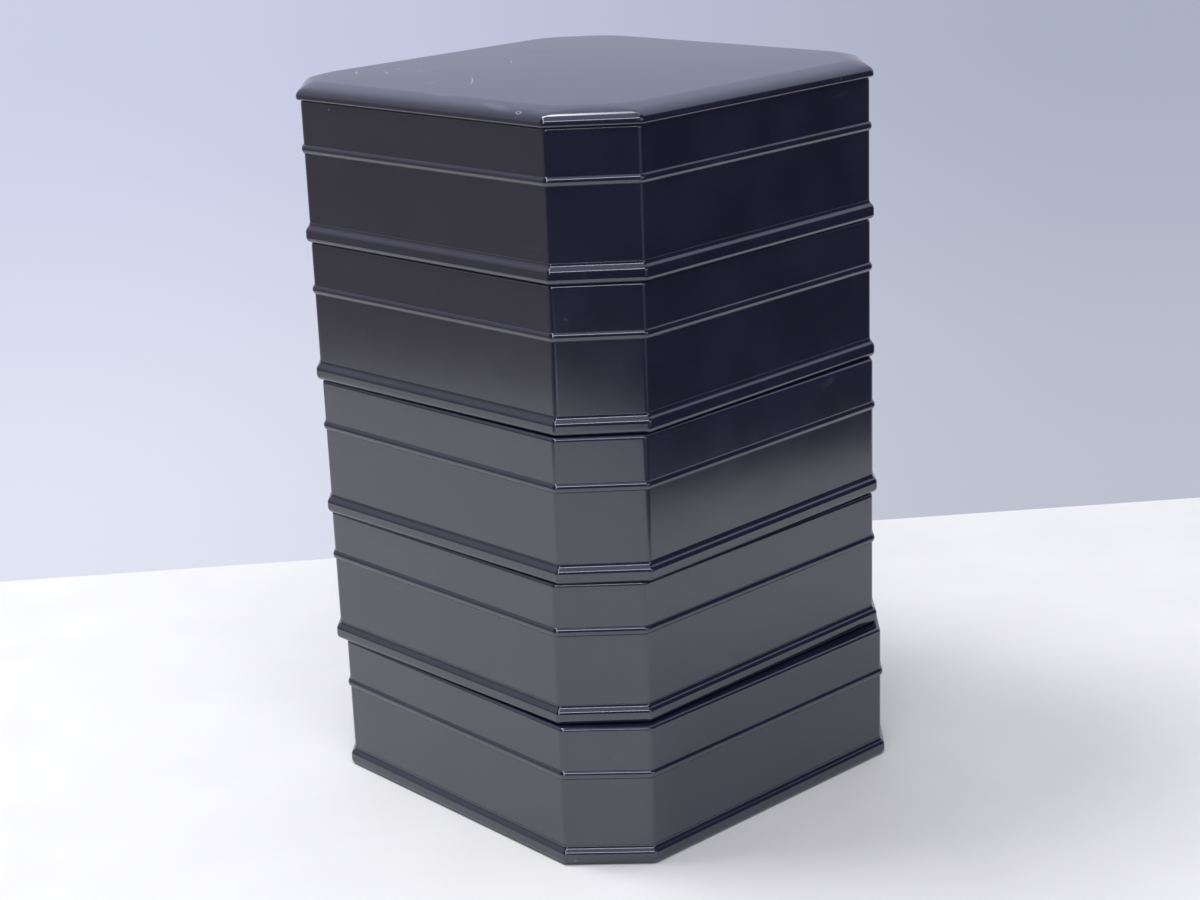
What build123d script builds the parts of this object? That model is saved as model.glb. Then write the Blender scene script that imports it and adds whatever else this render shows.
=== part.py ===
from build123d import *
import math
import os

# A lacquered food box of five equal tiers under one lid. In plan each tier is a square with its
# four corners cut off. +Z is up, one wall faces -Y, and the box stands on z = 0. Millimetres.

# The plan and the tiers
outer_side = 212.0
corner_leg = 28.0
wall = 8.0
tier_height = 66.0
tier_names = ["tier1", "tier2", "tier3", "tier4", "tier5"]
rim_round = 1.6
rim_inner_chamfer = 0.8

# The base frame that each tier stands on, and the floor that it holds
foot_height = 7.2
foot_proud = 2.0
foot_bottom_round = 2.4
foot_shoulder = 0.95
floor_thickness = 4.2
floor_bearing = 4.0

# Wall joints: the side boards have tongues that enter the corner posts
post_return = 8.0
tongue_length = 4.0
tongue_thickness = 2.6
tongue_stop = 10.0

# The bead that runs round each tier, by its middle height
bead_level = 44.0
bead_height = 3.2
bead_proud = 1.0

# The lid: a crowned board in a rounded edge strip, with a cleat frame under it
lid_overhang = 1.9
lid_edge_height = 6.0
lid_edge_straight = 3.0
lid_edge_inset = 0.8
lid_edge_lower_round = 1.0
lid_shoulder_rise = 1.0
lid_shoulder_width = 8.0
lid_crown = 0.9
crown_shares = [(1.0, 0.0), (0.75, 0.47), (0.5, 0.8), (0.25, 1.0)]
cleat_width = 9.0
cleat_drop = 5.0
cleat_chamfer = 1.2
cleat_clearance = 1.0

# How the tiers stand on each other, from the top tier down, as the photograph shows them.
# Each pair says how far a tier has slipped along X and Y on the one below it.
tier_slip = 6.5
slip_shares = [(-0.07, 0.04), (-0.43, 0.21), (-0.04, 0.06), (-1.0, 0.23), (0.0, 0.0)]
slip_turns = [0.2, 1.0, 1.1, 1.3, 0.0]


def side_table():
    """Every wall face in turn: its direction in degrees, its distance and half its width."""
    half_side = outer_side / 2
    cut_width = corner_leg * math.sqrt(2)
    cut_reach = half_side * math.sqrt(2) - cut_width / 2
    sides = []
    for turn in range(4):
        sides.append((90 * turn, half_side, half_side - corner_leg))
        sides.append((90 * turn + 45, cut_reach, cut_width / 2))
    return sides


def half_width_at(half_width, offset):
    """Half the width of a wall face that is moved outwards by the offset."""
    return half_width + offset * math.tan(math.radians(22.5))


def octagon_corners(offset):
    """The corners of the box in plan, with every face moved outwards by the offset."""
    corners = []
    for angle, reach, half_width in side_table():
        corner = Vector(reach + offset, half_width_at(half_width, offset)).rotate(Axis.Z, angle)
        corners.append((corner.X, corner.Y))
    return corners


def octagon(offset):
    """The plan of the box, with every face moved outwards by the offset."""
    return Polygon(*octagon_corners(offset), align=None)


def mitred(profile, reach, half_width, inner, outer, low, high):
    """A profile carried along one wall face and mitred at both ends. X is 0 at the face."""
    bar = extrude(Plane.XZ * profile, half_width + outer_side / 2, both=True)
    near = half_width_at(half_width, inner)
    far = half_width_at(half_width, outer)
    plan = Polygon((inner, -near), (outer, -far), (outer, far), (inner, near), align=None)
    wedge = Pos(0, 0, low) * extrude(plan, high - low)
    return Pos(reach, 0, 0) * (bar & wedge)


def mitred_ring(profile, inner, outer, low, high):
    """The eight mitred pieces of a moulding that runs right round the box."""
    pieces = []
    for angle, reach, half_width in side_table():
        piece = mitred(profile, reach, half_width, inner, outer, low, high)
        pieces += [Rot(0, 0, angle) * solid for solid in piece.solids()]
    return Compound(children=pieces)


def wall_ring():
    """All eight walls of a tier in one ring, its rim rounded outside and eased inside."""
    plan = octagon(0) - octagon(-wall)
    ring = Pos(0, 0, foot_height) * extrude(plan, tier_height - foot_height)
    rim = ring.faces().sort_by(Axis.Z)[-1]
    ring = fillet(rim.outer_wire().edges(), rim_round)
    rim = ring.faces().sort_by(Axis.Z)[-1]
    return chamfer(rim.inner_wires()[0].edges(), rim_inner_chamfer)


def tongue(end):
    """The tongue at one end of the board on the +X side; the end is +1 or -1."""
    board_end = outer_side / 2 - corner_leg - post_return
    height = tier_height - foot_height - tongue_stop
    block = Box(tongue_thickness, tongue_length, height, align=(Align.CENTER, Align.MIN, Align.MIN))
    block = Pos(outer_side / 2 - wall / 2, board_end, foot_height) * block
    return block if end > 0 else block.mirror(Plane.XZ)


def side_board(ring):
    """The wall board on the +X side, with a tongue at both ends."""
    board_end = outer_side / 2 - corner_leg - post_return
    room = Box(outer_side, 2 * board_end, tier_height, align=(Align.MIN, Align.CENTER, Align.MIN))
    board = ring & room
    return board + tongue(1) + tongue(-1)


def corner_post(ring):
    """The cut corner between +X and +Y, with a groove for a tongue in each end."""
    board_end = outer_side / 2 - corner_leg - post_return
    room = Box(outer_side, outer_side, tier_height, align=Align.MIN)
    post = ring & (Pos(board_end, board_end, 0) * room)
    groove = tongue(1)
    return post - groove - (Rot(0, 0, 90) * tongue(-1))


def foot_profile():
    """Section of a base rail: rounded foot, moulded shoulder, and a rebate for the floor."""
    seat = foot_height - floor_thickness
    shoulder_top = foot_height - (foot_proud - foot_shoulder)
    rebate = floor_bearing - wall
    outline = [
        Line((-wall, 0), (foot_proud - foot_bottom_round, 0)),
        TangentArc((foot_proud - foot_bottom_round, 0), (foot_proud, foot_bottom_round), tangent=(1, 0)),
        Line((foot_proud, foot_bottom_round), (foot_proud, shoulder_top - foot_shoulder)),
        TangentArc((foot_proud, shoulder_top - foot_shoulder),
                   (foot_proud - foot_shoulder, shoulder_top), tangent=(0, 1)),
        TangentArc((foot_proud - foot_shoulder, shoulder_top), (0, foot_height), tangent=(-1, 0)),
        Line((0, foot_height), (rebate, foot_height)),
        Line((rebate, foot_height), (rebate, seat)),
        Line((rebate, seat), (-wall, seat)),
        Line((-wall, seat), (-wall, 0)),
    ]
    return make_face(outline)


def bead_profile():
    """Section of the bead: a low round with its flat back on the wall."""
    low = bead_level - bead_height / 2
    high = bead_level + bead_height / 2
    outline = [ThreePointArc((0, low), (bead_proud, bead_level), (0, high)), Line((0, high), (0, low))]
    return make_face(outline)


def tier_pieces():
    """Every piece of one tier, standing on z = 0, by the end of its node name."""
    ring = wall_ring()
    board = side_board(ring)
    post = corner_post(ring)
    seat = foot_height - floor_thickness
    posts = [Rot(0, 0, 90 * turn) * post for turn in range(4)]
    pieces = {"right_board": board}
    pieces["back_board"] = Rot(0, 0, 90) * board
    pieces["left_board"] = Rot(0, 0, 180) * board
    pieces["front_board"] = Rot(0, 0, 270) * board
    pieces["corner_posts"] = Compound(children=[solid for each in posts for solid in each.solids()])
    pieces["floor_board"] = Pos(0, 0, seat) * extrude(octagon(floor_bearing - wall), floor_thickness)
    pieces["base_frame"] = mitred_ring(foot_profile(), -wall, foot_proud, 0, foot_height)
    pieces["bead"] = mitred_ring(bead_profile(), 0, bead_proud, 0, tier_height)
    return pieces


def lid_rim_profile():
    """Section of the lid board's rim, which rolls off to the edge strip."""
    edge = -lid_edge_inset
    shoulder = edge - lid_shoulder_width
    inner = shoulder - lid_shoulder_width
    shoulder_top = lid_edge_height + lid_shoulder_rise
    outline = [
        Line((inner, 0), (edge, 0)),
        Line((edge, 0), (edge, lid_edge_height)),
        TangentArc((shoulder, shoulder_top), (edge, lid_edge_height), tangent=(1, 0)),
        Line((shoulder, shoulder_top), (inner, shoulder_top)),
        Line((inner, shoulder_top), (inner, 0)),
    ]
    return make_face(outline)


def flat_face(corners):
    """The flat face between these corners."""
    return Face(Wire.make_polygon([Vector(*corner) for corner in corners], close=True))


def lid_crown_cap(offset, level):
    """The low crown on the lid board, in flat slopes that ease off towards the middle."""
    rings = []
    for size, rise in crown_shares:
        height = level + rise * lid_crown
        rings.append([(x * size, y * size, height) for x, y in octagon_corners(offset)])
    faces = [flat_face(rings[0]), flat_face(rings[-1])]
    for lower, upper in zip(rings, rings[1:]):
        for side in range(len(lower)):
            faces.append(flat_face([lower[side - 1], lower[side], upper[side], upper[side - 1]]))
    return Solid(Shell(faces))


def lid_board():
    """The lid board in one piece: a rim that rolls off all round, a middle and a low crown."""
    edge = -lid_edge_inset
    shoulder = edge - lid_shoulder_width
    inner = shoulder - lid_shoulder_width
    shoulder_top = lid_edge_height + lid_shoulder_rise
    board = extrude(octagon(inner), shoulder_top) + lid_crown_cap(shoulder, shoulder_top)
    return board + mitred_ring(lid_rim_profile(), inner, edge, 0, shoulder_top).solids()


def lid_edge_profile():
    """Section of the strip round the lid board, which carries the board's roll-off on to the edge."""
    back = -lid_edge_inset
    low = lid_edge_lower_round
    top = lid_edge_height
    outline = [
        Line((back, 0), (lid_overhang - low, 0)),
        TangentArc((lid_overhang - low, 0), (lid_overhang, low), tangent=(1, 0)),
        Line((lid_overhang, low), (lid_overhang, lid_edge_straight)),
        TangentArc((lid_overhang, lid_edge_straight), (back, top), tangent=(0, 1)),
        Line((back, top), (back, 0)),
    ]
    return make_face(outline)


def cleat_profile():
    """Section of the frame that drops inside the top tier's rim, chamfered below."""
    outer = -wall - cleat_clearance
    inner = outer - cleat_width
    corners = [(inner, 0), (inner, cleat_chamfer - cleat_drop), (inner + cleat_chamfer, -cleat_drop),
               (outer - cleat_chamfer, -cleat_drop), (outer, cleat_chamfer - cleat_drop), (outer, 0)]
    return Polygon(*corners, align=None)


def lid_pieces():
    """Every piece of the lid, whose underside is z = 0, by the end of its node name."""
    cleat_outer = -wall - cleat_clearance
    return {
        "board": lid_board(),
        "edge_strip": mitred_ring(lid_edge_profile(), -lid_edge_inset, lid_overhang, 0, lid_edge_height),
        "cleat_frame": mitred_ring(cleat_profile(), cleat_outer - cleat_width, cleat_outer, -cleat_drop, 0),
    }


def stack_places():
    """Where each tier stands, from the bottom one up: name, X, Y, Z and turn about Z."""
    x = y = z = turn = 0.0
    places = []
    for name, share, step in reversed(list(zip(tier_names, slip_shares, slip_turns))):
        x += share[0] * tier_slip
        y += share[1] * tier_slip
        turn += step
        places.append((name, Pos(x, y, z) * Rot(0, 0, turn)))
        z += tier_height
    places.append(("lid", Pos(x, y, z) * Rot(0, 0, turn)))
    return places


def stack():
    """Every node of the box by its name, centred over the middle of the whole box."""
    tier = tier_pieces()
    lid = lid_pieces()
    nodes = {}
    for name, place in stack_places():
        for part, solid in (lid if name == "lid" else tier).items():
            nodes[name + "_" + part] = place * solid
    middle = Compound(children=[Compound(solid.solids()) for solid in nodes.values()]).bounding_box().center()
    return {name: Pos(-middle.X, -middle.Y, 0) * solid for name, solid in nodes.items()}


os.makedirs("parts", exist_ok=True)
for node_name, node in stack().items():
    solids = list(node.solids())
    whole = solids[0] if len(solids) == 1 else Compound(solids)
    export_step(whole, "parts/" + node_name + ".step")
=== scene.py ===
"""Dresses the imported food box: five lacquered tiers under a lid, on a pale table."""

import logging
import math
from dataclasses import dataclass, field
from enum import Enum

import bpy
from mathutils import Matrix, Vector


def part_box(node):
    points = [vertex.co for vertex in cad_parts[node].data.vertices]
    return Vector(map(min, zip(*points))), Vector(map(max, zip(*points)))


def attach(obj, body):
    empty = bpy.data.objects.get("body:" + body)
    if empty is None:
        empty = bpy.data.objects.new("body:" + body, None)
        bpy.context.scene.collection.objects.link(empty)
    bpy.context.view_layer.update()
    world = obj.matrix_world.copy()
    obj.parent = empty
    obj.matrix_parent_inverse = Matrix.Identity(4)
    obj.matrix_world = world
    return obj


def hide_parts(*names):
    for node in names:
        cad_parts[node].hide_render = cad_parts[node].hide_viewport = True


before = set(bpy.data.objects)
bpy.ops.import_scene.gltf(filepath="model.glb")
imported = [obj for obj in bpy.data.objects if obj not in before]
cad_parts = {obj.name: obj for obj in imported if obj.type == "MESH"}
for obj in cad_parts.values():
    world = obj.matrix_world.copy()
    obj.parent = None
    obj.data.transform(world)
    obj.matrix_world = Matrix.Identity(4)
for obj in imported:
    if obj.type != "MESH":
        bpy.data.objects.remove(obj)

LOG = logging.getLogger("food_box")
MM = 0.001
CORNERS = 8.0
EIGHTH_TURN = math.pi / 4
DIAGONAL = math.sqrt(0.5)

# How far each tier is turned on the bottom one, in degrees. The lid follows the top tier.
TIER_TURNS = {"tier1": 3.6, "tier2": 3.4, "tier3": 2.4, "tier4": 1.3, "tier5": 0.0}

Colour = tuple[float, float, float]
Place = tuple[float, float, float]
Tree = bpy.types.NodeTree
Socket = bpy.types.NodeSocket


class Wear(Enum):
    """How worn a lacquered surface is: how much dust it has, and how strong its scratches are."""

    SHOWN = 0.05
    LID = 0.12
    INSIDE = 0.03


@dataclass(frozen=True)
class Term:
    """A number inside a node tree. Sums and products of terms add Math nodes to the tree.

    Args:
        tree: The node tree that the value belongs to.
        socket: The output socket that carries the value.
    """

    tree: Tree
    socket: Socket

    def apply(self, operation: str, *others: "Term | float") -> "Term":
        """Puts this value and others through one Math node.

        Args:
            operation: The Math node's operation.
            others: The node's second and third values.

        Returns:
            The node's result.
        """
        node = self.tree.nodes.new("ShaderNodeMath")
        node.operation = operation
        for slot, value in zip(node.inputs, (self, *others)):
            if isinstance(value, Term):
                self.tree.links.new(value.socket, slot)
            else:
                slot.default_value = value
        return Term(self.tree, node.outputs[0])

    def __add__(self, other: "Term | float") -> "Term":
        """The sum of both."""
        return self.apply("ADD", other)

    def __sub__(self, other: "Term | float") -> "Term":
        """The difference of both."""
        return self.apply("SUBTRACT", other)

    def __mul__(self, other: "Term | float") -> "Term":
        """The product of both."""
        return self.apply("MULTIPLY", other)

    def __truediv__(self, other: "Term | float") -> "Term":
        """The first divided by the second."""
        return self.apply("DIVIDE", other)

    def ramp(self, zero: float, one: float) -> "Term":
        """A soft rise from 0 to 1, which holds these outside its span.

        Args:
            zero: The value at which the rise begins. It may be the larger one.
            one: The value at which it ends.

        Returns:
            How far this value has risen.
        """
        node = self.tree.nodes.new("ShaderNodeMapRange")
        node.interpolation_type = "SMOOTHSTEP"
        self.tree.links.new(self.socket, node.inputs["Value"])
        node.inputs["From Min"].default_value = zero
        node.inputs["From Max"].default_value = one
        return Term(self.tree, node.outputs[0])


def split(tree: Tree, socket: Socket) -> tuple[Term, Term, Term]:
    """The three parts of a vector.

    Args:
        tree: The node tree.
        socket: The output socket that carries the vector.

    Returns:
        The X, Y and Z terms.
    """
    node = tree.nodes.new("ShaderNodeSeparateXYZ")
    tree.links.new(socket, node.inputs[0])
    return tuple(Term(tree, out) for out in node.outputs)


def blend(tree: Tree, share: Term, first: Colour | Socket, second: Colour | Socket) -> Socket:
    """Mixes two colours.

    Args:
        tree: The node tree.
        share: How much of the second colour is taken.
        first: A colour, or the socket of one.
        second: A colour, or the socket of one.

    Returns:
        The socket of the mixed colour.
    """
    node = tree.nodes.new("ShaderNodeMix")
    node.data_type = "RGBA"
    tree.links.new(share.socket, node.inputs[0])
    for slot, value in ((node.inputs[6], first), (node.inputs[7], second)):
        if isinstance(value, bpy.types.NodeSocket):
            tree.links.new(value, slot)
        else:
            slot.default_value = (*value, 1.0)
    return node.outputs[2]


@dataclass(frozen=True)
class Noise:
    """A cloud of noise.

    Args:
        size: The size of a patch, in metres.
        detail: How many finer layers it has.
        seed: A shift that tells one cloud from another, in patches.
        stretch: How often the cloud repeats along each axis.
        span: The values that become 0 and 1, or None to leave the cloud as it is.
    """

    size: float
    detail: float
    seed: float
    stretch: tuple[float, float, float] = (1.0, 1.0, 1.0)
    span: tuple[float, float] | None = None

    def term(self, tree: Tree, place: Socket) -> Term:
        """Adds the cloud to a material.

        Args:
            tree: The material's node tree.
            place: The socket of the place on the piece.

        Returns:
            The cloud's value, from 0 to 1.
        """
        mapping = tree.nodes.new("ShaderNodeMapping")
        mapping.inputs["Location"].default_value = (self.seed, self.seed, self.seed)
        mapping.inputs["Scale"].default_value = tuple(part / self.size for part in self.stretch)
        tree.links.new(place, mapping.inputs["Vector"])
        cloud = tree.nodes.new("ShaderNodeTexNoise")
        cloud.inputs["Scale"].default_value = 1.0
        cloud.inputs["Detail"].default_value = self.detail
        tree.links.new(mapping.outputs[0], cloud.inputs["Vector"])
        value = Term(tree, cloud.outputs[0])
        return value.ramp(*self.span) if self.span else value


@dataclass(frozen=True)
class Specks:
    """Small round specks, at most one in each cell. Sizes are in metres.

    Args:
        cell: The size of a cell.
        radius: The radius of the largest speck.
        strength: How pale a speck is, from 0 to 1.
    """

    cell: float
    radius: float
    strength: float

    def term(self, tree: Tree, place: Socket, share: float) -> Term:
        """Adds the specks to a material.

        Args:
            tree: The material's node tree.
            place: The socket of the place on the piece.
            share: How many of the cells have one.

        Returns:
            How pale the specks make the surface, from 0 to 1.
        """
        cells = tree.nodes.new("ShaderNodeTexVoronoi")
        cells.inputs["Scale"].default_value = 1 / self.cell
        tree.links.new(place, cells.inputs["Vector"])
        pick = split(tree, cells.outputs["Color"])
        size = pick[1] * (self.radius / self.cell)
        inside = size.apply("GREATER_THAN", Term(tree, cells.outputs["Distance"]))
        return inside * pick[0].apply("LESS_THAN", share) * self.strength


@dataclass(frozen=True)
class Mark:
    """A small pale mark in the lacquer.

    Args:
        place: Its middle, in metres, in the frame of the whole box.
        length: Its longer side, in metres.
        width: Its shorter side, in metres.
        turn: The direction of its longer side in degrees from +X.
        strength: How pale it is, from 0 to 1.
        ring: Whether only its rim shows.
    """

    place: tuple[float, float]
    length: float
    width: float
    turn: float
    strength: float
    ring: bool = False

    # How uneven the outline is, and where the mark is whole, has its rim and has faded out,
    # all as shares of the way from its middle to its outline. A rim is drawn stronger.
    UNEVEN = Noise(size=0.0012, detail=2.0, seed=3.0)
    UNEVENNESS = 0.9
    WHOLE, RIM, FADED = 0.35, 0.6, 0.9
    RIM_GAIN = 2.0

    def term(self, tree: Tree, place: Socket) -> Term:
        """Adds the mark to a material.

        Args:
            tree: The material's node tree.
            place: The socket of the place on the piece.

        Returns:
            How pale the mark makes the surface, from 0 to 1.
        """
        mapping = tree.nodes.new("ShaderNodeMapping")
        mapping.vector_type = "TEXTURE"
        mapping.inputs["Location"].default_value = (*self.place, 0.0)
        mapping.inputs["Rotation"].default_value = (0.0, 0.0, math.radians(self.turn))
        mapping.inputs["Scale"].default_value = (self.length / 2, self.width / 2, 1.0)
        tree.links.new(place, mapping.inputs["Vector"])
        x, y, _ = split(tree, mapping.outputs[0])
        uneven = self.UNEVEN.term(tree, place) * self.UNEVENNESS - self.UNEVENNESS / 2
        away = (x * x + y * y).apply("SQRT") + uneven
        shade = away.ramp(self.FADED, self.WHOLE)
        if self.ring:
            shade = shade * away.ramp(self.WHOLE, self.RIM) * self.RIM_GAIN
        return shade * self.strength


@dataclass(frozen=True)
class Lacquer:
    """A polished lacquer finish.

    Args:
        name: The material's name.
        colour: Its own colour, under the gloss.
        roughness: How much the gloss is blurred.
        wave_depth: The depth of the slow waves in the polished surface, in metres.
        wave_length: Their length, in metres.
        wear: How worn it is.
        marks: Single marks that it carries.
        refraction: The lacquer's refractive index.
        pale: The colour of dust, scratches and marks.
        cloudiness: How many times as light its lightest patches are.
    """

    name: str
    colour: Colour
    roughness: float
    wave_depth: float
    wave_length: float
    wear: Wear = Wear.SHOWN
    marks: tuple[Mark, ...] = ()
    refraction: float = 1.84
    pale: Colour = (0.30, 0.31, 0.36)
    cloudiness: float = 1.35

    CLOUDS = Noise(size=0.035, detail=3.0, seed=11.0, span=(0.3, 0.7))
    GREASE = Noise(size=0.018, detail=4.0, seed=37.0, span=(0.35, 0.75))
    GRAIN = Noise(size=0.0011, detail=1.0, seed=13.0)
    ALONG = Noise(0.002, detail=1.0, seed=5.0, stretch=(1.0, 0.06, 0.25), span=(0.71, 0.76))
    ACROSS = Noise(0.002, detail=1.0, seed=61.0, stretch=(0.05, 1.0, 0.8), span=(0.72, 0.77))
    HANDLED = Noise(size=0.03, detail=2.0, seed=23.0, span=(0.5, 0.68))
    COARSE_DUST = Specks(cell=0.009, radius=0.0006, strength=0.30)
    FINE_DUST = Specks(cell=0.0032, radius=0.00028, strength=0.16)

    # The share of the roughness that clean lacquer has, the share that grease adds, and what
    # wear adds to it.
    CLEAN, GREASY, WORN = 0.92, 0.16, 0.25

    # The grain's share of the waves' depth, and how far dust and marks stand proud, in metres.
    GRAIN_SHARE, WORN_HEIGHT = 0.012, 0.00001

    def material(self) -> bpy.types.Material:
        """Builds the finish, once.

        Returns:
            The material.
        """
        made = bpy.data.materials.get(self.name)
        if made:
            return made
        made = bpy.data.materials.new(self.name)
        made.use_nodes = True
        tree = made.node_tree
        shader = tree.nodes["Principled BSDF"]
        shader.inputs["IOR"].default_value = self.refraction
        place = tree.nodes.new("ShaderNodeTexCoord").outputs["Object"]
        worn = self.worn(tree, place)
        clouds = self.CLOUDS.term(tree, place)
        lightest = tuple(self.cloudiness * part for part in self.colour)
        tone = blend(tree, clouds, self.colour, lightest)
        tree.links.new(blend(tree, worn, tone, self.pale), shader.inputs["Base Color"])
        grease = self.GREASE.term(tree, place) * (self.GREASY * self.roughness)
        rough = grease + self.CLEAN * self.roughness + worn * self.WORN
        tree.links.new(rough.socket, shader.inputs["Roughness"])
        tree.links.new(self.relief(tree, place, worn), shader.inputs["Normal"])
        return made

    def worn(self, tree: Tree, place: Socket) -> Term:
        """Everything pale on the surface: dust, scratches and marks.

        Args:
            tree: The material's node tree.
            place: The socket of the place on the piece.

        Returns:
            How pale it makes the surface, from 0 to 1.
        """
        coarse = self.COARSE_DUST.term(tree, place, self.wear.value)
        fine = self.FINE_DUST.term(tree, place, 2 * self.wear.value)
        pale = coarse.apply("MAXIMUM", fine).apply("MAXIMUM", self.scratches(tree, place))
        for mark in self.marks:
            pale = pale.apply("MAXIMUM", mark.term(tree, place))
        return pale

    def scratches(self, tree: Tree, place: Socket) -> Term:
        """Fine scratches in two directions, in patches.

        Args:
            tree: The material's node tree.
            place: The socket of the place on the piece.

        Returns:
            How pale the scratches make the surface, from 0 to 1.
        """
        lines = self.ALONG.term(tree, place).apply("MAXIMUM", self.ACROSS.term(tree, place))
        return lines * self.HANDLED.term(tree, place) * self.wear.value

    def relief(self, tree: Tree, place: Socket, worn: Term) -> Socket:
        """The slow waves of the polished surface, its fine grain, and the edges of dust.

        Args:
            tree: The material's node tree.
            place: The socket of the place on the piece.
            worn: Where dust, scratches and marks lie.

        Returns:
            The socket of the surface's normal.
        """
        waves = Noise(self.wave_length, detail=1.0, seed=71.0).term(tree, place) * self.wave_depth
        grain = self.GRAIN.term(tree, place) * (self.GRAIN_SHARE * self.wave_depth)
        depth = waves + grain + worn * self.WORN_HEIGHT
        bump = tree.nodes.new("ShaderNodeBump")
        bump.inputs["Strength"].default_value = 1.0
        bump.inputs["Distance"].default_value = 1.0
        tree.links.new(depth.socket, bump.inputs["Height"])
        return bump.outputs[0]


@dataclass
class Section:
    """The section of a piece that runs round the box, drawn point by point, in millimetres.

    Each point is a distance out from the wall's face, a share of the way to the middle of the
    box, and a height. Beside every corner there is one more point, which keeps flats flat.

    Args:
        beside: How far that extra point stands from its corner.
        points: The points so far.
    """

    beside: float = 0.2
    points: list[tuple[float, float, float]] = field(default_factory=list)

    # About how far the middle of the box is, and how near two points count as one.
    TO_MIDDLE = 90.0
    SAME = 1e-6

    def start(self, out: float, height: float, share: float = 0.0) -> "Section":
        """Sets the first point."""
        self.points = [(out, share, height)]
        return self

    def line(self, out: float, height: float, share: float = 0.0) -> "Section":
        """Draws a straight stretch.

        Args:
            out: Where it ends, outwards from the wall's face.
            height: The height at which it ends.
            share: The share of the way to the middle at which it ends.

        Returns:
            The section.
        """
        first, last = Vector(self.points[-1]), Vector((out, share, height))
        inwards = self.TO_MIDDLE * (last.y - first.y)
        length = math.hypot(last.x - first.x, last.z - first.z, inwards)
        if length > 4 * self.beside:
            step = self.beside / length
            self.points.append(tuple(first.lerp(last, step)))
            self.points.append(tuple(first.lerp(last, 1 - step)))
        self.points.append(tuple(last))
        return self

    def arc(
        self, out: float, height: float, radius: float, begin: float, end: float, steps: int = 8
    ) -> "Section":
        """Draws a round stretch.

        Args:
            out: The arc's centre, outwards from the wall's face.
            height: The height of its centre.
            radius: Its radius.
            begin: The angle at which it begins, in degrees up from straight out.
            end: The angle at which it ends.
            steps: How many straight pieces stand for it.

        Returns:
            The section.
        """
        for step in range(steps + 1):
            angle = math.radians(begin + (end - begin) * step / steps)
            point = (out + radius * math.cos(angle), 0.0, height + radius * math.sin(angle))
            if (Vector(point) - Vector(self.points[-1])).length > self.SAME:
                self.points.append(point)
        return self

    def oval(
        self, out: float, height: float, width: float, rise: float, steps: int
    ) -> "Section":
        """Draws a quarter of an oval, from straight out to straight up.

        Args:
            out: The oval's centre, outwards from the wall's face.
            height: The height of its centre.
            width: How far it reaches out.
            rise: How far it reaches up.
            steps: How many straight pieces stand for it.

        Returns:
            The section.
        """
        for step in range(1, steps + 1):
            angle = math.pi / 2 * step / steps
            point = (out + width * math.cos(angle), 0.0, height + rise * math.sin(angle))
            self.points.append(point)
        return self

    def mesh(self, name: str) -> bpy.types.Mesh:
        """The section as a mesh without faces, in metres.

        Args:
            name: The mesh's name.

        Returns:
            The mesh, whose edges follow the section.
        """
        made = bpy.data.meshes.new(name)
        places = [(out * MM, share, height * MM) for out, share, height in self.points]
        made.from_pydata(places, [(i, i + 1) for i in range(len(places) - 1)], [])
        return made


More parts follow.
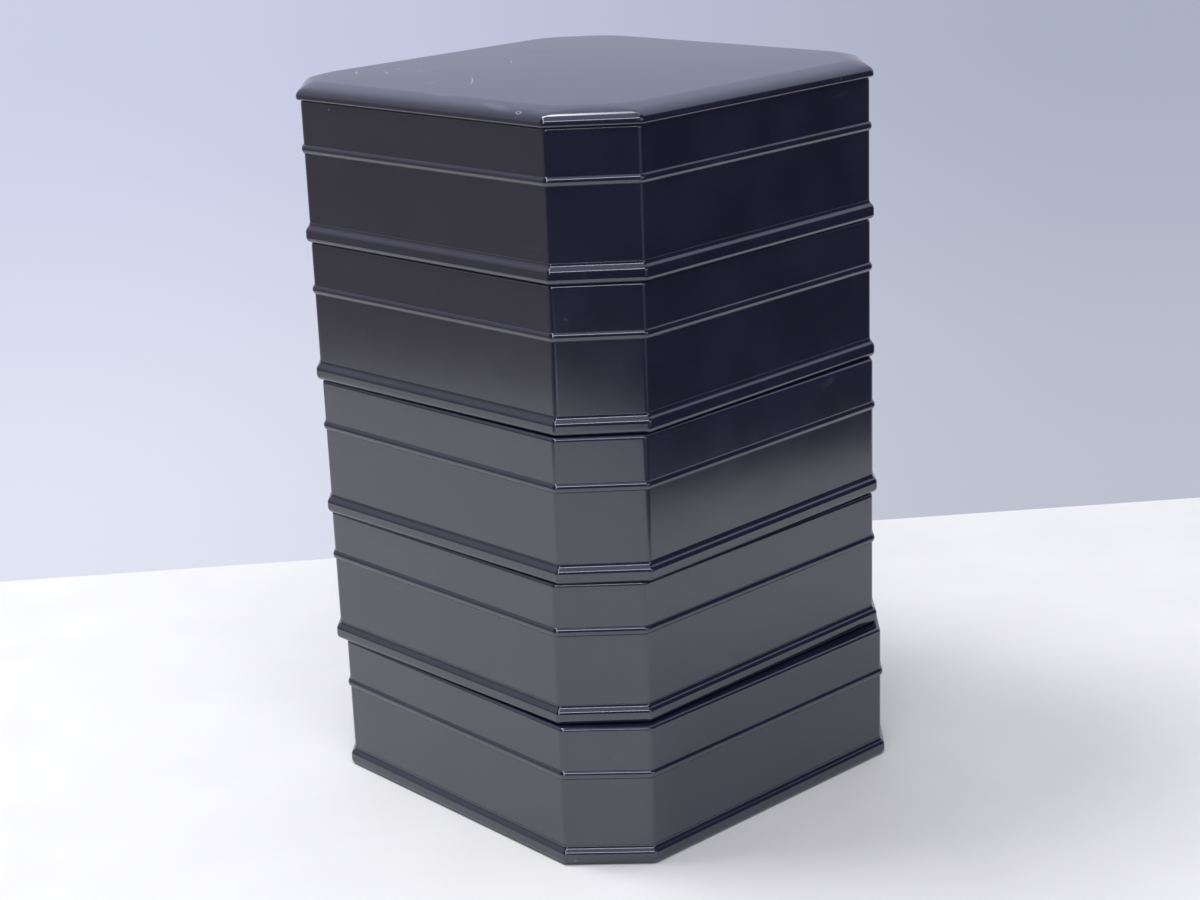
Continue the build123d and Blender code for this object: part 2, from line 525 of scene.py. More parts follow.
@dataclass
class Ring:
    """Carries a section round the eight walls of the box with one node tree.

    Args:
        side: The distance between two opposite wall faces, in millimetres.
        cut: How much of a wall each cut corner takes.
        corner_steps: How many straight pieces round off an upright edge.
        beside: How far the extra points stand from a rounded edge.
        ease_depth: How far inwards the radius of the upright edges may change.
        tree: The node tree, once it is built.
    """

    side: float = 212.0
    cut: float = 28.0
    corner_steps: int = 6
    beside: float = 0.3
    ease_depth: float = 4.2
    tree: Tree | None = None

    INPUTS = (
        ("Side", "NodeSocketFloat"),
        ("Cut", "NodeSocketFloat"),
        ("Edge Round", "NodeSocketFloat"),
        ("Outer Ease", "NodeSocketFloat"),
        ("Inner Ease", "NodeSocketFloat"),
        ("Ease Depth", "NodeSocketFloat"),
        ("Beside", "NodeSocketFloat"),
        ("Corner Steps", "NodeSocketInt"),
        ("Finish", "NodeSocketMaterial"),
    )
    FINISHING = (
        "GeometryNodeMergeByDistance",
        "GeometryNodeFlipFaces",
        "GeometryNodeSetShadeSmooth",
        "GeometryNodeRealizeInstances",
        "GeometryNodeSetMaterial",
    )

    # The columns of a corner beyond its steps, and how near two points are merged, in metres.
    MORE_COLUMNS = 3.0
    MERGED = 0.000002

    def build_tree(self) -> Tree:
        """Builds the node tree that all rings share.

        Returns:
            The tree.
        """
        tree = bpy.data.node_groups.new("section_round_the_box", "GeometryNodeTree")
        tree.is_modifier = True
        geometry = "NodeSocketGeometry"
        tree.interface.new_socket("Section", in_out="INPUT", socket_type=geometry)
        for name, kind in self.INPUTS:
            tree.interface.new_socket(name, in_out="INPUT", socket_type=kind)
        tree.interface.new_socket("Mesh", in_out="OUTPUT", socket_type=geometry)
        given = tree.nodes.new("NodeGroupInput")
        term = {name: Term(tree, given.outputs[name]) for name, _ in self.INPUTS[:-1]}
        size = tree.nodes.new("GeometryNodeAttributeDomainSize")
        tree.links.new(given.outputs["Section"], size.inputs["Geometry"])
        rows = Term(tree, size.outputs["Point Count"])
        per_corner = term["Corner Steps"] + self.MORE_COLUMNS
        grid = tree.nodes.new("GeometryNodeMeshGrid")
        tree.links.new((per_corner * CORNERS + 1.0).socket, grid.inputs["Vertices X"])
        tree.links.new(rows.socket, grid.inputs["Vertices Y"])
        index = Term(tree, tree.nodes.new("GeometryNodeInputIndex").outputs[0])
        column = ((index + 0.5) / rows).apply("FLOOR")
        row = index - column * rows
        point = split(tree, self.sample_section(tree, given.outputs["Section"], row))
        moved = tree.nodes.new("GeometryNodeSetPosition")
        tree.links.new(grid.outputs["Mesh"], moved.inputs["Geometry"])
        place = self.place(tree, term, column, per_corner, point)
        tree.links.new(place, moved.inputs["Position"])
        self.finish_tree(tree, given, moved.outputs[0])
        return tree

    def sample_section(self, tree: Tree, section: Socket, row: Term) -> Socket:
        """The section's point that belongs to a row.

        Args:
            tree: The node tree.
            section: The socket of the section's mesh.
            row: The number of the row.

        Returns:
            The socket of the point.
        """
        sample = tree.nodes.new("GeometryNodeSampleIndex")
        sample.data_type = "FLOAT_VECTOR"
        position = tree.nodes.new("GeometryNodeInputPosition")
        tree.links.new(section, sample.inputs["Geometry"])
        tree.links.new(position.outputs[0], sample.inputs["Value"])
        tree.links.new(row.apply("ROUND").socket, sample.inputs["Index"])
        return sample.outputs["Value"]

    def place(
        self, tree: Tree, term: dict[str, Term], column: Term, per_corner: Term,
        point: tuple[Term, Term, Term],
    ) -> Socket:
        """Where a point of the section comes to stand in a column of the ring.

        Args:
            tree: The node tree.
            term: The tree's inputs by name.
            column: The column's number, counted round the box.
            per_corner: How many columns each corner has.
            point: The section's point: distance out, share of the way to the middle, height.

        Returns:
            The socket of the place.
        """
        out, share, height = point
        corner = ((column + 0.5) / per_corner).apply("FLOOR")
        step = column - corner * per_corner

        # A long wall and a cut corner stand at different distances, and take turns.
        odd = corner.apply("MODULO", 2.0).apply("ROUND")
        wall_reach = term["Side"] * 0.5 + out
        cut_reach = (term["Side"] - term["Cut"]) * DIAGONAL + out
        before = wall_reach + odd * (cut_reach - wall_reach)
        after = cut_reach + odd * (wall_reach - cut_reach)

        # The upright edge's radius, and how far along the wall its arc begins.
        outside = out.apply("MAXIMUM", 0.0) * term["Outer Ease"]
        depth = (out * -1.0).apply("MAXIMUM", 0.0).apply("MINIMUM", term["Ease Depth"])
        radius = term["Edge Round"] + outside + depth * term["Inner Ease"]
        along = ((after - radius) - (before - radius) * DIAGONAL) / DIAGONAL

        # The first and the last column of a corner stand beside its arc, on the flats.
        turn = ((step - 1.0) / term["Corner Steps"]).apply("MAXIMUM", 0.0).apply("MINIMUM", 1.0)
        angle = turn * EIGHTH_TURN
        ahead = step.apply("GREATER_THAN", per_corner - 1.5) - step.apply("LESS_THAN", 0.5)
        slide = ahead * term["Beside"]
        cosine, sine = angle.apply("COSINE"), angle.apply("SINE")
        forward = before - radius + radius * cosine - slide * sine
        sideways = along + radius * sine + slide * cosine

        heading = corner * EIGHTH_TURN
        inward = (share * -1.0) + 1.0
        x = (forward * heading.apply("COSINE") - sideways * heading.apply("SINE")) * inward
        y = (forward * heading.apply("SINE") + sideways * heading.apply("COSINE")) * inward
        whole = tree.nodes.new("ShaderNodeCombineXYZ")
        for value, slot in zip((x, y, height), whole.inputs):
            tree.links.new(value.socket, slot)
        return whole.outputs[0]

    def finish_tree(self, tree: Tree, given: bpy.types.Node, mesh: Socket) -> None:
        """Closes the seams, smooths the faces and gives the ring its finish.

        Args:
            tree: The node tree.
            given: The tree's Group Input.
            mesh: The socket of the ring so far.
        """
        for kind in self.FINISHING:
            node = tree.nodes.new(kind)
            tree.links.new(mesh, node.inputs[0])
            if kind == "GeometryNodeMergeByDistance":
                node.inputs["Distance"].default_value = self.MERGED
            if kind == "GeometryNodeSetMaterial":
                tree.links.new(given.outputs["Finish"], node.inputs["Material"])
            mesh = node.outputs[0]
        tree.links.new(mesh, tree.nodes.new("NodeGroupOutput").inputs[0])

    def make(
        self, name: str, section: Section, finish: Lacquer, edge_round: float,
        ease: tuple[float, float], at: Matrix,
    ) -> bpy.types.Object:
        """Carries a section round the box and puts the result in its place.

        Args:
            name: The piece's name.
            section: Its section.
            finish: Its finish.
            edge_round: The radius of the upright edges at the wall's face, in millimetres.
            ease: How fast that radius grows outwards and inwards.
            at: Where the tier or the lid stands.

        Returns:
            The finished piece.
        """
        self.tree = self.tree or self.build_tree()
        draft = bpy.data.objects.new(name + "_draft", section.mesh(name + "_section"))
        bpy.context.scene.collection.objects.link(draft)
        modifier = draft.modifiers.new("ring", "NODES")
        modifier.node_group = self.tree
        values = {
            "Side": self.side * MM,
            "Cut": self.cut * MM,
            "Edge Round": edge_round * MM,
            "Outer Ease": ease[0],
            "Inner Ease": ease[1],
            "Ease Depth": self.ease_depth * MM,
            "Beside": self.beside * MM,
            "Corner Steps": self.corner_steps,
            "Finish": finish.material(),
        }
        for item in self.tree.interface.items_tree:
            if item.in_out == "INPUT" and item.name in values:
                modifier[item.identifier] = values[item.name]
        bpy.context.view_layer.update()
        solid = draft.evaluated_get(bpy.context.evaluated_depsgraph_get())
        mesh = bpy.data.meshes.new_from_object(solid)
        bpy.data.objects.remove(draft)
        mesh.name = name
        mesh.transform(at)
        piece = bpy.data.objects.new(name, mesh)
        bpy.context.scene.collection.objects.link(piece)
        return piece


@dataclass(frozen=True)
class Finishes:
    """The lacquers of the box.

    Args:
        walls: The walls' finish, with long slow waves.
        trim: The feet's and the beads' finish, which is polished more sharply.
        lid: The lid's finish, with the marks of use.
        inside: The floors' and the cleats' finish, which is less polished.
    """

    walls: Lacquer = Lacquer(
        "black_wall_lacquer", (0.0095, 0.0105, 0.026), roughness=0.16,
        wave_depth=0.000014, wave_length=0.045,
    )
    trim: Lacquer = Lacquer(
        "black_trim_lacquer", (0.0095, 0.0105, 0.026), roughness=0.12,
        wave_depth=0.000006, wave_length=0.03,
    )
    lid: Lacquer = Lacquer(
        "black_lid_lacquer", (0.0105, 0.0115, 0.027), roughness=0.13,
        wave_depth=0.000014, wave_length=0.06, wear=Wear.LID,
        marks=(
            Mark((-0.0088, -0.0624), 0.032, 0.0010, -41.0, 0.85),
            Mark((-0.0431, -0.0097), 0.018, 0.0010, -41.0, 0.75),
            Mark((-0.0805, -0.0729), 0.020, 0.0014, -38.0, 0.75),
            Mark((-0.0664, -0.0662), 0.018, 0.0014, -32.0, 0.75),
            Mark((-0.0730, -0.0545), 0.005, 0.0030, 31.0, 0.60),
            Mark((-0.0564, -0.0542), 0.007, 0.0030, 0.0, 0.55),
            Mark((-0.0213, -0.0763), 0.006, 0.0030, 32.0, 0.45),
            Mark((0.0080, -0.0960), 0.026, 0.0060, -5.0, 0.16),
            Mark((0.0520, -0.1000), 0.028, 0.0050, -5.0, 0.14),
            Mark((0.0672, -0.1012), 0.0042, 0.0026, 0.0, 0.50, ring=True),
        ),
    )
    inside: Lacquer = Lacquer(
        "black_inside_lacquer", (0.010, 0.010, 0.016), roughness=0.28,
        wave_depth=0.00003, wave_length=0.05, wear=Wear.INSIDE,
    )


def stand(node: str, turn: float) -> Matrix:
    """Where a tier or the lid stands.

    Args:
        node: The CAD node whose middle and underside it takes.
        turn: How far it is turned, in degrees.

    Returns:
        The place and the turn.
    """
    low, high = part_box(node)
    middle = (Vector(low) + Vector(high)) / 2
    turned = Matrix.Rotation(math.radians(turn), 4, "Z")
    return Matrix.Translation((middle.x, middle.y, low[2])) @ turned


def hand_over(piece: bpy.types.Object, body: str, nodes: list[str]) -> None:
    """Lets a finished piece stand for CAD nodes and ride with their body, and reports it.

    Args:
        piece: The piece.
        body: The body that carries it.
        nodes: The nodes that it stands for.
    """
    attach(piece, body)
    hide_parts(*nodes)
    LOG.info("%s: %d faces", piece.name, len(piece.data.polygons))


@dataclass
class Tier:
    """One tier: walls, bead, base frame and floor. All sizes are in millimetres.

    Args:
        name: The tier's name, which is also its body's.
        turn: How far it is turned on the bottom tier, in degrees.
        ring: What carries the sections round the box.
        finishes: The lacquers.
        wall: How thick the walls are.
        height: The tier's height.
        edge_round: The radius of the walls' upright edges.
        foot_edge_round: The radius of the foot's upright edges, in line with the wall's face.
        edge_ease: How fast these radii grow outwards and inwards.
        rim_round: The rim's outer radius.
        rim_inner_round: Its inner radius.
        foot_height: The level of the floor's upper face.
        foot_proud: How far the foot stands out from the wall.
        foot_bottom_round: The radius of its lower edge.
        foot_straight: The level at which its shoulder begins.
        foot_shoulder: The shoulder's height.
        floor_thickness: How thick the floor board is.
        floor_bearing: How far it reaches under the walls.
        floor_cove: The radius of the cove along its edge.
        bead_level: The height of the bead's middle.
        bead_height: The bead's height.
        bead_proud: How far it stands out from the wall.
        bead_sunk: How deep its back lies in the wall.
    """

    name: str
    turn: float
    ring: Ring
    finishes: Finishes
    wall: float = 8.0
    height: float = 66.0
    edge_round: float = 3.5
    foot_edge_round: float = 2.0
    edge_ease: tuple[float, float] = (0.3, 0.0)
    rim_round: float = 1.6
    rim_inner_round: float = 0.8
    foot_height: float = 7.2
    foot_proud: float = 2.0
    foot_bottom_round: float = 2.4
    foot_straight: float = 4.8
    foot_shoulder: float = 4.2
    floor_thickness: float = 4.2
    floor_bearing: float = 4.0
    floor_cove: float = 1.5
    bead_level: float = 43.5
    bead_height: float = 4.2
    bead_proud: float = 1.1
    bead_sunk: float = 0.3

    def wall_section(self) -> Section:
        """The wall from the foot up, over the rounded rim and down the inside.

        Returns:
            The section.
        """
        top, rim, inner = self.height, self.rim_round, self.rim_inner_round
        begin = self.foot_straight + self.foot_shoulder
        section = Section().start(0.0, begin)
        section.line(0.0, top - rim).arc(-rim, top - rim, rim, 0, 90)
        section.line(inner - self.wall, top).arc(inner - self.wall, top - inner, inner, 90, 180)
        return section.line(-self.wall, begin).line(0.0, begin)

    def foot_section(self) -> Section:
        """The base rail: rounded foot, shoulder of a round and a hollow, and the floor's rebate.

        Returns:
            The section.
        """
        proud, low, rise = self.foot_proud, self.foot_bottom_round, self.foot_shoulder
        straight, top = self.foot_straight, self.foot_straight + self.foot_shoulder
        seat = self.foot_height - self.floor_thickness
        rebate = self.floor_bearing - self.wall

        # The round and the hollow have one radius, and each turns by the same angle.
        lean = 2 * math.degrees(math.atan(proud / rise))
        bend = proud / 2 / (1 - math.cos(math.radians(lean)))
        section = Section(beside=0.12).start(-self.wall, 0.0)
        section.line(proud - low, 0.0).arc(proud - low, low, low, -90, 0, steps=10)
        section.line(proud, straight).arc(proud - bend, straight, bend, 0, lean, steps=12)
        section.arc(bend, top, bend, 180 + lean, 180, steps=12)
        section.line(rebate, top).line(rebate, seat)
        return section.line(-self.wall, seat).line(-self.wall, 0.0)

    def bead_section(self) -> Section:
        """The bead: a low round that runs into the wall.

        Returns:
            The section.
        """
        half, proud, back = self.bead_height / 2, self.bead_proud, -self.bead_sunk
        radius = (half * half + proud**2) / (2 * proud)
        reach = math.degrees(math.asin(half / radius))
        section = Section().start(back, self.bead_level - half)
        section.arc(proud - radius, self.bead_level, radius, -reach, reach, steps=12)
        return section.line(back, self.bead_level + half).line(back, self.bead_level - half)

    def floor_section(self) -> Section:
        """The floor board, which runs up into the walls with a small cove inside.

        Returns:
            The section.
        """
        seat, face = self.foot_height - self.floor_thickness, self.foot_height
        rebate, cove = self.floor_bearing - self.wall, self.floor_cove
        section = Section(beside=1.0).start(rebate, seat, share=1.0)
        section.line(rebate, seat).line(rebate, face).line(-self.wall, face)
        section.line(-self.wall, face + cove)
        section.arc(-self.wall - cove, face + cove, cove, 0, -90)
        return section.line(-self.wall - cove, face, share=1.0)

    def build(self) -> None:
        """Builds the tier's four pieces and lets them ride with it."""
        at, finish = stand(f"{self.name}_base_frame", self.turn), self.finishes
        boards = [f"{self.name}_{side}_board" for side in ("right", "back", "left", "front")]
        posts, frame_rails = f"{self.name}_corner_posts", f"{self.name}_base_frame"
        bead, board = f"{self.name}_bead", f"{self.name}_floor_board"
        wall_edge, foot_edge = self.edge_round, self.foot_edge_round
        black, floor = "black_lacquer", "floor_lacquer"
        plan = (
            ("walls", self.wall_section(), finish.walls, wall_edge, black, [*boards, posts]),
            ("foot", self.foot_section(), finish.trim, foot_edge, black, [frame_rails]),
            ("moulding", self.bead_section(), finish.trim, wall_edge, black, [bead]),
            ("floor", self.floor_section(), finish.inside, wall_edge, floor, [board]),
        )
        for part, section, lacquer, edge, slot, nodes in plan:
            name = f"{self.name}_{part}"
            piece = self.ring.make(name, section, lacquer, edge, self.edge_ease, at)
            hand_over(piece, self.name, nodes)


@dataclass
class Lid:
    """The lid: a crowned board in a rounded edge, and the cleats below it. Millimetres.

    Args:
        turn: How far it is turned on the bottom tier, in degrees.
        ring: What carries the sections round the box.
        finishes: The lacquers.
        overhang: How far its edge stands out from the wall.
        edge_straight: The level up to which the edge is upright.
        lower_round: The radius of its lower edge.
        roll_rise: How high it rolls off above that.
        roll_width: How far inwards it rolls off.
        crown: How much higher the middle is than the shoulder.
        edge_round: The radius of the upright edges.
        edge_ease: How fast that radius grows outwards and inwards.
        wall: How thick the walls below are.
        cleat_width: How wide the cleats are.
        cleat_drop: How far they drop inside the rim.
        cleat_round: The radius of their lower edges.
        cleat_clearance: Their distance from the walls.
        cleat_edge_round: The radius of their upright edges.
        cleat_ease: How fast that radius grows outwards and inwards.
    """

    turn: float
    ring: Ring
    finishes: Finishes
    overhang: float = 1.9
    edge_straight: float = 1.7
    lower_round: float = 1.0
    roll_rise: float = 5.6
    roll_width: float = 13.0
    crown: float = 0.6
    edge_round: float = 3.0
    edge_ease: tuple[float, float] = (0.3, 5.0)
    wall: float = 8.0
    cleat_width: float = 9.0
    cleat_drop: float = 5.0
    cleat_round: float = 1.2
    cleat_clearance: float = 1.0
    cleat_edge_round: float = 1.0
    cleat_ease: tuple[float, float] = (0.0, 0.05)

    # The crown's points: distances out from the wall's face, then shares of the way inwards.
    CROWN_OUTS = (-13.0, -16.0, -20.0)
    CROWN_SHARES = (0.06, 0.14, 0.25, 0.4, 0.55, 0.7, 0.85, 0.95, 1.0)

    def top_section(self) -> Section:
        """The lid's whole skin: underside, edge, roll-off and crown.

        Returns:
            The section.
        """
        edge, low, straight = self.overhang, self.lower_round, self.edge_straight
        section = Section(beside=0.15).start(-self.wall, 0.0, share=1.0)
        section.line(-self.wall, 0.0).line(edge - low, 0.0).arc(edge - low, low, low, -90, 0)
        begin = edge - self.roll_width
        section.line(edge, straight)
        section.oval(begin, straight, self.roll_width, self.roll_rise, steps=30)
        return self.add_crown(section, begin, straight + self.roll_rise)

    def add_crown(self, section: Section, begin: float, top: float) -> Section:
        """Adds the low crown, from the shoulder to the middle.

        Args:
            section: The section so far.
            begin: Where the shoulder ends, outwards from the wall's face.
            top: The shoulder's height.

        Returns:
            The section.
        """
        half, stop = self.ring.side / 2, self.CROWN_OUTS[-1]
        for out in self.CROWN_OUTS:
            part = (half + out) / (half + begin)
            section.points.append((out, 0.0, top + self.crown * (1 - part * part)))
        for share in self.CROWN_SHARES:
            part = (half + stop) * (1 - share) / (half + begin)
            section.points.append((stop, share, top + self.crown * (1 - part * part)))
        return section

    def cleat_section(self) -> Section:
        """The cleats, which drop inside the top rim.

        Returns:
            The section.
        """
        outer = -self.wall - self.cleat_clearance
        inner = outer - self.cleat_width
        bend, drop = self.cleat_round, self.cleat_drop
        section = Section().start(outer, 0.0)
        section.line(outer, bend - drop).arc(outer - bend, bend - drop, bend, 0, -90)
        section.line(inner + bend, -drop).arc(inner + bend, bend - drop, bend, -90, -180)
        return section.line(inner, 0.0).line(outer, 0.0)

    def build(self) -> None:
        """Builds the lid's two pieces and lets them ride with it."""
        at, finish = stand("lid_edge_strip", self.turn), self.finishes
        top = self.ring.make(
            "lid_top", self.top_section(), finish.lid, self.edge_round, self.edge_ease, at
        )
        cleats = self.ring.make(
            "lid_cleats", self.cleat_section(), finish.inside, self.cleat_edge_round,
            self.cleat_ease, at,
        )
        hand_over(top, "lid", ["lid_board", "lid_edge_strip"])
        hand_over(cleats, "lid", ["lid_cleat_frame"])


@dataclass(frozen=True)
class Lamp:
    """A soft square lamp, which the lacquer doesn't mirror.

    Args:
        name: Its name.
        place: Where it hangs, in metres.
        target: What it points at.
        power: Its power in watts.
        size: The length of its sides, in metres.
    """

    name: str
    place: Place
    target: Place
    power: float
    size: float = 0.9

    def hang(self, level: Vector) -> None:
        """Hangs the lamp.

        Args:
            level: The direction that its upper edge follows as nearly as it can.
        """
        light = bpy.data.lights.new(self.name, "AREA")
        light.shape = "RECTANGLE"
        light.size, light.size_y, light.energy = self.size, self.size, self.power
        lamp = bpy.data.objects.new(self.name, light)
        lamp.visible_glossy = False
        lamp.location = self.place
        away = (Vector(self.place) - Vector(self.target)).normalized()
        up = away.cross(level).normalized()
        lamp.rotation_mode = "QUATERNION"
        turned = Matrix((up.cross(away), up, away)).transposed()
        lamp.rotation_quaternion = turned.to_quaternion()
        bpy.context.scene.collection.objects.link(lamp)


@dataclass(frozen=True)
class Room:
    """The room, painted by direction: a pale backdrop, and what the lacquer mirrors.

    A pair of colours runs from left to right in the backdrop, and upwards elsewhere.

    Args:
        level: The level direction to the camera's right.
        backdrop_high: The upper part of the backdrop.
        backdrop_low: Its lower part.
        fill: The soft light that the room gives to what isn't glossy.
        dark: What stands in front of the upper tiers, and the table there.
        left_wall: The wall on the left.
        back_wall: The wall behind.
        back_wall_right: Its right part.
        gap: The dark gap beside it.
        window: The window on the right.
        warm_table: The table in front.
        grey_table: The table on the right.
        pale_table: The table behind.
        ceiling: The ceiling behind the camera.
        overhead_strip: The strip light overhead.
        side_strip: The one beside the camera.
        front_strip: The one in front of the box.
    """

    level: Vector
    backdrop_high: tuple[Colour, Colour] = ((0.61, 0.64, 0.83), (0.41, 0.44, 0.56))
    backdrop_low: tuple[Colour, Colour] = ((0.76, 0.78, 0.90), (0.51, 0.53, 0.62))
    fill: Colour = (0.58, 0.58, 0.62)
    dark: Colour = (0.025, 0.025, 0.03)
    left_wall: tuple[Colour, Colour] = ((0.27, 0.245, 0.245), (0.52, 0.49, 0.55))
    back_wall: tuple[Colour, Colour] = ((0.49, 0.52, 0.66), (0.73, 0.77, 0.96))
    back_wall_right: Colour = (0.64, 0.67, 0.85)
    gap: Colour = (0.03, 0.03, 0.04)
    window: Colour = (1.0, 1.0, 1.1)
    warm_table: Colour = (0.30, 0.27, 0.25)
    grey_table: Colour = (0.24, 0.24, 0.28)
    pale_table: Colour = (0.62, 0.64, 0.78)
    ceiling: tuple[Colour, Colour] = ((0.06, 0.06, 0.08), (0.66, 0.68, 0.88))
    overhead_strip: Colour = (12.0, 12.0, 13.0)
    side_strip: Colour = (5.0, 5.0, 5.5)
    front_strip: Colour = (7.0, 7.0, 7.7)

    # How far -X and +Y each point away from the camera.
    AWAY_X, AWAY_Y = 0.74, 0.67

    def build(self) -> None:
        """Paints the world."""
        world = bpy.data.worlds.new("room")
        world.use_nodes = True
        bpy.context.scene.world = world
        tree = world.node_tree
        tree.nodes.clear()
        x, y, z = split(tree, tree.nodes.new("ShaderNodeTexCoord").outputs["Generated"])
        across = x * self.level.x + y * self.level.y
        path = tree.nodes.new("ShaderNodeLightPath")
        passed = Term(tree, path.outputs["Is Transmission Ray"])
        seen = Term(tree, path.outputs["Is Camera Ray"]).apply("MAXIMUM", passed)
        glossy = Term(tree, path.outputs["Is Glossy Ray"])
        to_right, downwards = across.ramp(-0.26, 0.24), (z * -1.0).ramp(0.11, 0.31)
        high = blend(tree, to_right, *self.backdrop_high)
        low = blend(tree, to_right, *self.backdrop_low)
        backdrop = blend(tree, downwards, high, low)
        colour = blend(tree, glossy, self.fill, self.mirrored(tree, (x, y, z), across))
        colour = blend(tree, seen, colour, backdrop)
        shade = tree.nodes.new("ShaderNodeBackground")
        tree.links.new(colour, shade.inputs["Color"])
        tree.links.new(shade.outputs[0], tree.nodes.new("ShaderNodeOutputWorld").inputs[0])

    def mirrored(self, tree: Tree, away: tuple[Term, Term, Term], across: Term) -> Socket:
        """What the lacquer mirrors of the room in each direction.

        Args:
            tree: The world's node tree.
            away: The three parts of the direction.
            across: How far the direction points to the camera's right.

        Returns:
            The socket of the colour.
        """
        x, y, z = away
        behind = y * self.AWAY_Y - x * self.AWAY_X

        # The walls, from the left round to the window on the right.
        at_left, at_back = (x * -1.0).ramp(0.25, 0.6), y.ramp(-0.50, 0.40)
        back_right, at_gap, at_window = x.ramp(-0.4, 0.5), x.ramp(0.34, 0.42), x.ramp(0.84, 0.92)
        left_wall = blend(tree, z.ramp(0.02, 0.40), *self.left_wall)
        side = blend(tree, at_left, self.dark, left_wall)
        back = blend(tree, z.ramp(0.20, 0.55), *self.back_wall)
        back = blend(tree, back_right, back, self.back_wall_right)
        walls = blend(tree, at_back, side, back)
        walls = blend(tree, at_gap, walls, self.gap)
        walls = blend(tree, at_window, walls, self.window)
        above = self.add_lights(tree, (behind, z), across, walls)

        # The table, from the front round to the back.
        in_front = (x * -self.AWAY_X - y * self.AWAY_Y).ramp(0.55, 0.95)
        on_right, at_far_side = x.ramp(0.88, 0.98), behind.ramp(0.3, 0.7)
        table = blend(tree, in_front, self.dark, self.warm_table)
        table = blend(tree, on_right, table, self.grey_table)
        table = blend(tree, at_far_side, table, self.pale_table)
        horizon = z.ramp(-0.04, 0.03)
        return blend(tree, horizon, table, above)

    def add_lights(
        self, tree: Tree, away: tuple[Term, Term], across: Term, room: Socket
    ) -> Socket:
        """Adds what is behind the camera, and the strip lights.

        Args:
            tree: The world's node tree.
            away: How far the direction points behind the box, and up.
            across: How far it points to the camera's right.
            room: The socket of the room's colour without them.

        Returns:
            The socket of the room's colour with them.
        """
        behind, z = away

        # The room behind the camera, and the ceiling above it.
        facing = (behind * -1.0).ramp(-0.16, -0.08)
        middle = across.ramp(0.40, 0.34) * across.ramp(-0.40, -0.34)
        ceiling = blend(tree, z.ramp(0.45, 0.70), *self.ceiling)
        room = blend(tree, facing * middle, room, ceiling)

        # The strip lights: overhead, where the right part is nearly out, beside and in front.
        within_left = across.ramp(-0.42, -0.36)
        power = across.ramp(0.05, -0.02) * within_left * 0.9 + middle * 0.1
        overhead = z.ramp(0.86, 0.90) * behind.ramp(0.11, 0.16) * behind.ramp(0.40, 0.32) * power
        beside = facing * across.ramp(-0.24, -0.29) * within_left
        front = facing * z.ramp(0.52, 0.56) * z.ramp(0.66, 0.62) * middle
        room = blend(tree, overhead, room, self.overhead_strip)
        room = blend(tree, beside, room, self.side_strip)
        return blend(tree, front, room, self.front_strip)


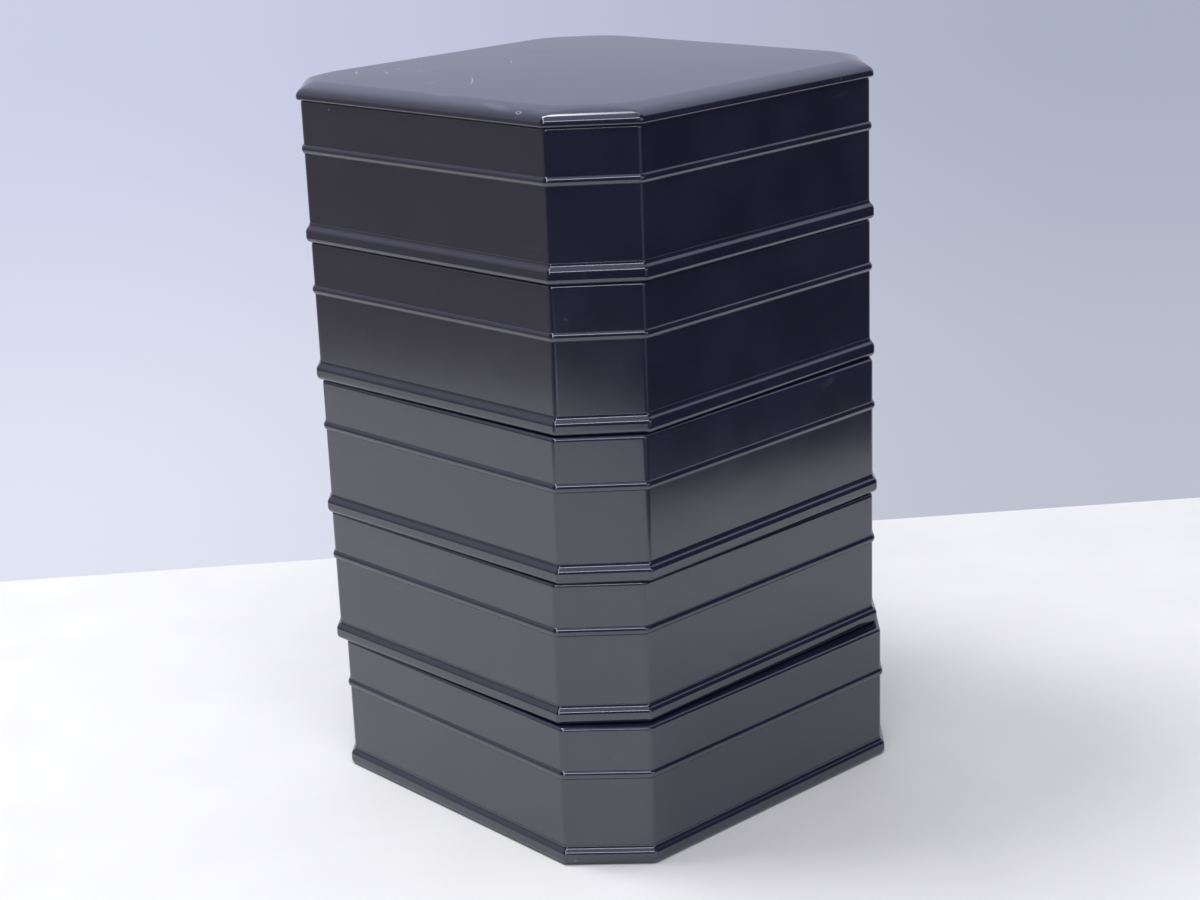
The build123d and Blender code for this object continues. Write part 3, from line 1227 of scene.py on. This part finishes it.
@dataclass
class Studio:
    """The table, the lamps, the room and the camera.

    Args:
        table_corners: The pale table's corners, in metres.
        table_colour: Its colour.
        table_roughness: How much its gloss is blurred.
        table_patches: How many pale patches it has in a metre.
        table_shade: How light it is between them, as a share.
        eye: Where the camera stands.
        azimuth: The camera's direction round the box, in degrees.
        elevation: How far it looks down, in degrees.
        roll: How far it is tilted, in degrees.
        lens: Its focal length, in millimetres.
        picture_width: The width of the picture that it goes with.
        lamps: The soft lamps.
    """

    table_corners: tuple[tuple[float, float], ...] = ((-0.84, -0.625), (0.70, -0.80), (0.30, 0.89))
    table_colour: Colour = (0.80, 0.80, 0.81)
    table_roughness: float = 0.6
    table_patches: float = 14.0
    table_shade: float = 0.97
    eye: Place = (0.7622, -0.698, 0.4717)
    azimuth: float = 47.579
    elevation: float = 17.215
    roll: float = -2.188
    lens: float = 66.538
    picture_width: float = 36.0
    lamps: tuple[Lamp, ...] = (
        Lamp("front_lamp", (0.75, -0.5, 1.6), (0.25, -0.05, 0.0), power=9.0),
        Lamp("left_lamp", (-0.9, -0.6, 2.3), (-0.35, -0.2, 0.0), power=34.0),
    )

    def level(self) -> Vector:
        """The level direction to the camera's right."""
        azimuth = math.radians(self.azimuth)
        return Vector((math.cos(azimuth), math.sin(azimuth), 0.0))

    def build(self) -> None:
        """Builds the table, the lamps, the room and the camera."""
        self.table()
        for lamp in self.lamps:
            lamp.hang(self.level())
        Room(self.level()).build()
        self.camera()

    def table(self) -> None:
        """A plain pale table top that ends where the one in the photograph does."""
        mesh = bpy.data.meshes.new("table_top")
        corners = [(x, y, 0.0) for x, y in self.table_corners]
        mesh.from_pydata(corners, [], [tuple(range(len(corners)))])
        material = bpy.data.materials.new("pale_table")
        material.use_nodes = True
        tree = material.node_tree
        shader = tree.nodes["Principled BSDF"]
        shader.inputs["Roughness"].default_value = self.table_roughness
        place = tree.nodes.new("ShaderNodeTexCoord").outputs["Object"]
        cloud = tree.nodes.new("ShaderNodeTexNoise")
        cloud.inputs["Scale"].default_value = self.table_patches
        tree.links.new(place, cloud.inputs["Vector"])
        patches = Term(tree, cloud.outputs[0]).ramp(0.3, 0.7)
        darker = tuple(self.table_shade * part for part in self.table_colour)
        colour = blend(tree, patches, darker, self.table_colour)
        tree.links.new(colour, shader.inputs["Base Color"])
        mesh.materials.append(material)
        top = bpy.data.objects.new("table_top", mesh)
        bpy.context.scene.collection.objects.link(top)

    def camera(self) -> None:
        """The camera at the photograph's place and angle."""
        az, el, tilt = (math.radians(a) for a in (self.azimuth, self.elevation, self.roll))
        flat = math.cos(el)
        ahead = Vector((-math.sin(az) * flat, math.cos(az) * flat, -math.sin(el)))
        level = self.level()
        upright = level.cross(ahead)
        right = math.cos(tilt) * level + math.sin(tilt) * upright
        up = math.cos(tilt) * upright - math.sin(tilt) * level
        data = bpy.data.cameras.new("photograph")
        data.sensor_width, data.lens = self.picture_width, self.lens
        camera = bpy.data.objects.new("photograph", data)
        turn = Matrix((right, up, -ahead)).transposed()
        camera.matrix_world = Matrix.Translation(self.eye) @ turn.to_4x4()
        bpy.context.scene.collection.objects.link(camera)
        bpy.context.scene.camera = camera


def main() -> None:
    """Builds the tiers, the lid and the studio, and reports each piece."""
    logging.basicConfig(level=logging.INFO, format="%(name)s: %(message)s")
    bpy.context.scene.view_settings.view_transform = "Standard"
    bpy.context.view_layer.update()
    ring, finishes = Ring(), Finishes()
    for name, turn in TIER_TURNS.items():
        Tier(name, turn, ring, finishes).build()
    Lid(TIER_TURNS["tier1"], ring, finishes).build()
    Studio().build()


if __name__ == "__main__":
    main()
